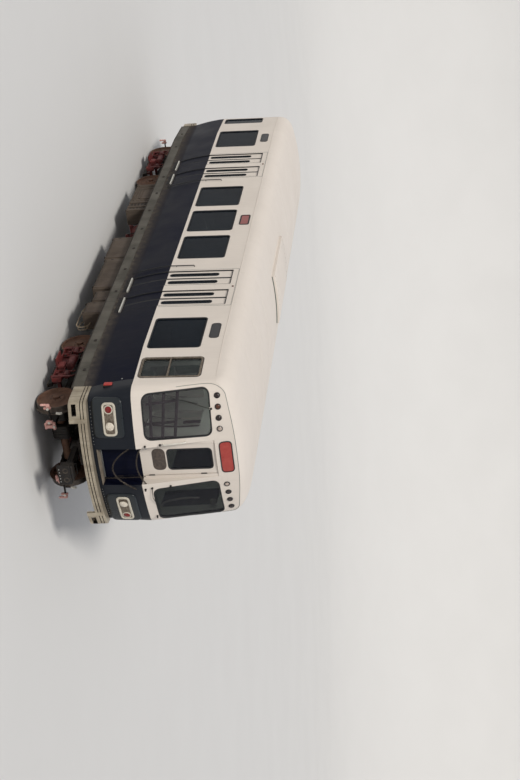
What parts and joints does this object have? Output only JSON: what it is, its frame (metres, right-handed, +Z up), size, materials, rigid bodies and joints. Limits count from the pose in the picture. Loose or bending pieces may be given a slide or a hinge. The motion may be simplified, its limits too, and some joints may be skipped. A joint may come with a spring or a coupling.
{
  "type": "subway car",
  "caption": "Self-propelled subway car with a raked front mask and cab, folding-leaf side doors, end doors and two swivelling inside-frame trucks.",
  "frame": {"origin": "middle of the car in plan, at the lowest point of the wheel flanges", "axes": "+Z up, the cab end faces -Y, and +X is the right-hand side seen from in front of the cab end"},
  "size_m": [2.8448, 14.71, 3.78],
  "materials": {
    "white_paint": "satin, slightly dirty",
    "green_paint": "satin, dirty towards the sill",
    "bare_aluminium": "extruded, dull and dirty",
    "window_glass": "clear, tinted",
    "frame_steel": "road dirt over black paint",
    "wheel_steel": "rust brown, bright tread",
    "red_paint": "worn red paint",
    "box_paint": "matt, dusty",
    "inner_panel": "pale green laminate",
    "seat_vinyl": "ribbed vinyl",
    "coupler_steel": "oily cast steel"
  },
  "bodies": {
    "car_body": {"near_middle_side": "white_paint", "near_middle_glass": "window_glass", "near_front_side": "white_paint", "near_front_glass": "window_glass", "near_rear_side": "white_paint", "near_rear_glass": "window_glass", "far_middle_side": "white_paint", "far_middle_glass": "window_glass", "far_front_side": "white_paint", "far_front_glass": "window_glass", "far_rear_side": "white_paint", "far_rear_glass": "window_glass", "roof": "white_paint", "front_mask": "white_paint", "front_dome": "white_paint", "front_nose": "green_paint", "near_windshield": "window_glass", "far_windshield": "window_glass", "rear_end": "white_paint", "floor": "frame_steel", "underframe": "frame_steel", "front_end_beam": "bare_aluminium", "rear_end_beam": "bare_aluminium", "cab_partition": "inner_panel", "cab_desk": "frame_steel", "near_seats": "seat_vinyl", "far_seats": "seat_vinyl", "near_equipment": "box_paint", "far_equipment": "box_paint"},
    "near_front_leaf_1": {"near_front_leaf_1": "white_paint"},
    "near_front_leaf_2": {"near_front_leaf_2": "white_paint"},
    "near_front_leaf_3": {"near_front_leaf_3": "white_paint"},
    "near_front_leaf_4": {"near_front_leaf_4": "white_paint"},
    "near_rear_leaf_1": {"near_rear_leaf_1": "white_paint"},
    "near_rear_leaf_2": {"near_rear_leaf_2": "white_paint"},
    "near_rear_leaf_3": {"near_rear_leaf_3": "white_paint"},
    "near_rear_leaf_4": {"near_rear_leaf_4": "white_paint"},
    "far_front_leaf_1": {"far_front_leaf_1": "white_paint"},
    "far_front_leaf_2": {"far_front_leaf_2": "white_paint"},
    "far_front_leaf_3": {"far_front_leaf_3": "white_paint"},
    "far_front_leaf_4": {"far_front_leaf_4": "white_paint"},
    "far_rear_leaf_1": {"far_rear_leaf_1": "white_paint"},
    "far_rear_leaf_2": {"far_rear_leaf_2": "white_paint"},
    "far_rear_leaf_3": {"far_rear_leaf_3": "white_paint"},
    "far_rear_leaf_4": {"far_rear_leaf_4": "white_paint"},
    "front_storm_door": {"front_storm_door": "white_paint"},
    "rear_storm_door": {"rear_storm_door": "white_paint"},
    "front_coupler": {"front_coupler": "coupler_steel"},
    "front_truck": {"front_truck_frame": "frame_steel", "front_truck_brake_gear": "red_paint"},
    "front_truck_outer_wheelset": {"front_truck_outer_wheelset": "wheel_steel"},
    "front_truck_inner_wheelset": {"front_truck_inner_wheelset": "wheel_steel"},
    "rear_coupler": {"rear_coupler": "coupler_steel"},
    "rear_truck": {"rear_truck_frame": "frame_steel", "rear_truck_brake_gear": "red_paint"},
    "rear_truck_outer_wheelset": {"rear_truck_outer_wheelset": "wheel_steel"},
    "rear_truck_inner_wheelset": {"rear_truck_inner_wheelset": "wheel_steel"}
  },
  "joints": [
    {"name": "near_front_leaf_1_swing", "type": "hinge", "parent": "car_body", "child": "near_front_leaf_1", "pos_m": [-1.291, -3.897, 2.16], "axis": [0, 0, -1], "range_deg": [0, 88]},
    {"name": "near_front_leaf_2_swing", "type": "hinge", "parent": "car_body", "child": "near_front_leaf_2", "pos_m": [-1.291, -3.378, 2.16], "axis": [0, 0, 1], "range_deg": [0, 88]},
    {"name": "near_front_leaf_3_swing", "type": "hinge", "parent": "car_body", "child": "near_front_leaf_3", "pos_m": [-1.291, -3.042, 2.16], "axis": [0, 0, -1], "range_deg": [0, 88]},
    {"name": "near_front_leaf_4_swing", "type": "hinge", "parent": "car_body", "child": "near_front_leaf_4", "pos_m": [-1.291, -2.523, 2.16], "axis": [0, 0, 1], "range_deg": [0, 88]},
    {"name": "near_rear_leaf_1_swing", "type": "hinge", "parent": "car_body", "child": "near_rear_leaf_1", "pos_m": [-1.291, 2.523, 2.16], "axis": [0, 0, -1], "range_deg": [0, 88]},
    {"name": "near_rear_leaf_2_swing", "type": "hinge", "parent": "car_body", "child": "near_rear_leaf_2", "pos_m": [-1.291, 3.042, 2.16], "axis": [0, 0, 1], "range_deg": [0, 88]},
    {"name": "near_rear_leaf_3_swing", "type": "hinge", "parent": "car_body", "child": "near_rear_leaf_3", "pos_m": [-1.291, 3.378, 2.16], "axis": [0, 0, -1], "range_deg": [0, 88]},
    {"name": "near_rear_leaf_4_swing", "type": "hinge", "parent": "car_body", "child": "near_rear_leaf_4", "pos_m": [-1.291, 3.897, 2.16], "axis": [0, 0, 1], "range_deg": [0, 88]},
    {"name": "far_front_leaf_1_swing", "type": "hinge", "parent": "car_body", "child": "far_front_leaf_1", "pos_m": [1.291, -3.897, 2.16], "axis": [0, 0, 1], "range_deg": [0, 88]},
    {"name": "far_front_leaf_2_swing", "type": "hinge", "parent": "car_body", "child": "far_front_leaf_2", "pos_m": [1.291, -3.378, 2.16], "axis": [0, 0, -1], "range_deg": [0, 88]},
    {"name": "far_front_leaf_3_swing", "type": "hinge", "parent": "car_body", "child": "far_front_leaf_3", "pos_m": [1.291, -3.042, 2.16], "axis": [0, 0, 1], "range_deg": [0, 88]},
    {"name": "far_front_leaf_4_swing", "type": "hinge", "parent": "car_body", "child": "far_front_leaf_4", "pos_m": [1.291, -2.523, 2.16], "axis": [0, 0, -1], "range_deg": [0, 88]},
    {"name": "far_rear_leaf_1_swing", "type": "hinge", "parent": "car_body", "child": "far_rear_leaf_1", "pos_m": [1.291, 2.523, 2.16], "axis": [0, 0, 1], "range_deg": [0, 88]},
    {"name": "far_rear_leaf_2_swing", "type": "hinge", "parent": "car_body", "child": "far_rear_leaf_2", "pos_m": [1.291, 3.042, 2.16], "axis": [0, 0, -1], "range_deg": [0, 88]},
    {"name": "far_rear_leaf_3_swing", "type": "hinge", "parent": "car_body", "child": "far_rear_leaf_3", "pos_m": [1.291, 3.378, 2.16], "axis": [0, 0, 1], "range_deg": [0, 88]},
    {"name": "far_rear_leaf_4_swing", "type": "hinge", "parent": "car_body", "child": "far_rear_leaf_4", "pos_m": [1.291, 3.897, 2.16], "axis": [0, 0, -1], "range_deg": [0, 88]},
    {"name": "front_storm_door_swing", "type": "hinge", "parent": "car_body", "child": "front_storm_door", "pos_m": [0.3, -6.925, 2.18], "axis": [0, 0, -1], "range_deg": [0, 90]},
    {"name": "rear_storm_door_swing", "type": "hinge", "parent": "car_body", "child": "rear_storm_door", "pos_m": [0.3, 6.815, 2.18], "axis": [0, 0, 1], "range_deg": [0, 90]},
    {"name": "front_coupler_swing", "type": "hinge", "parent": "car_body", "child": "front_coupler", "pos_m": [0, -6.45, 0.68], "axis": [0, 0, 1], "range_deg": [-12, 12]},
    {"name": "front_truck_swivel", "type": "hinge", "parent": "car_body", "child": "front_truck", "pos_m": [0, -5.131, 0.9], "axis": [0, 0, 1], "range_deg": [-11, 11]},
    {"name": "front_truck_outer_wheelset_spin", "type": "hinge", "parent": "front_truck", "child": "front_truck_outer_wheelset", "pos_m": [0, -6.1215, 0.3805], "axis": [1, 0, 0], "continuous": true},
    {"name": "front_truck_inner_wheelset_spin", "type": "hinge", "parent": "front_truck", "child": "front_truck_inner_wheelset", "pos_m": [0, -4.1405, 0.3805], "axis": [1, 0, 0], "continuous": true},
    {"name": "rear_coupler_swing", "type": "hinge", "parent": "car_body", "child": "rear_coupler", "pos_m": [0, 6.45, 0.68], "axis": [0, 0, 1], "range_deg": [-12, 12]},
    {"name": "rear_truck_swivel", "type": "hinge", "parent": "car_body", "child": "rear_truck", "pos_m": [0, 5.131, 0.9], "axis": [0, 0, 1], "range_deg": [-11, 11]},
    {"name": "rear_truck_outer_wheelset_spin", "type": "hinge", "parent": "rear_truck", "child": "rear_truck_outer_wheelset", "pos_m": [0, 6.1215, 0.3805], "axis": [1, 0, 0], "continuous": true},
    {"name": "rear_truck_inner_wheelset_spin", "type": "hinge", "parent": "rear_truck", "child": "rear_truck_inner_wheelset", "pos_m": [0, 4.1405, 0.3805], "axis": [1, 0, 0], "continuous": true}
  ],
  "couplings": [
    {"joint": "near_front_leaf_2_swing", "follows": "near_front_leaf_1_swing", "ratio": 1},
    {"joint": "near_front_leaf_3_swing", "follows": "near_front_leaf_1_swing", "ratio": 1},
    {"joint": "near_front_leaf_4_swing", "follows": "near_front_leaf_1_swing", "ratio": 1},
    {"joint": "near_rear_leaf_2_swing", "follows": "near_rear_leaf_1_swing", "ratio": 1},
    {"joint": "near_rear_leaf_3_swing", "follows": "near_rear_leaf_1_swing", "ratio": 1},
    {"joint": "near_rear_leaf_4_swing", "follows": "near_rear_leaf_1_swing", "ratio": 1},
    {"joint": "far_front_leaf_2_swing", "follows": "far_front_leaf_1_swing", "ratio": 1},
    {"joint": "far_front_leaf_3_swing", "follows": "far_front_leaf_1_swing", "ratio": 1},
    {"joint": "far_front_leaf_4_swing", "follows": "far_front_leaf_1_swing", "ratio": 1},
    {"joint": "far_rear_leaf_2_swing", "follows": "far_rear_leaf_1_swing", "ratio": 1},
    {"joint": "far_rear_leaf_3_swing", "follows": "far_rear_leaf_1_swing", "ratio": 1},
    {"joint": "far_rear_leaf_4_swing", "follows": "far_rear_leaf_1_swing", "ratio": 1}
  ]
}
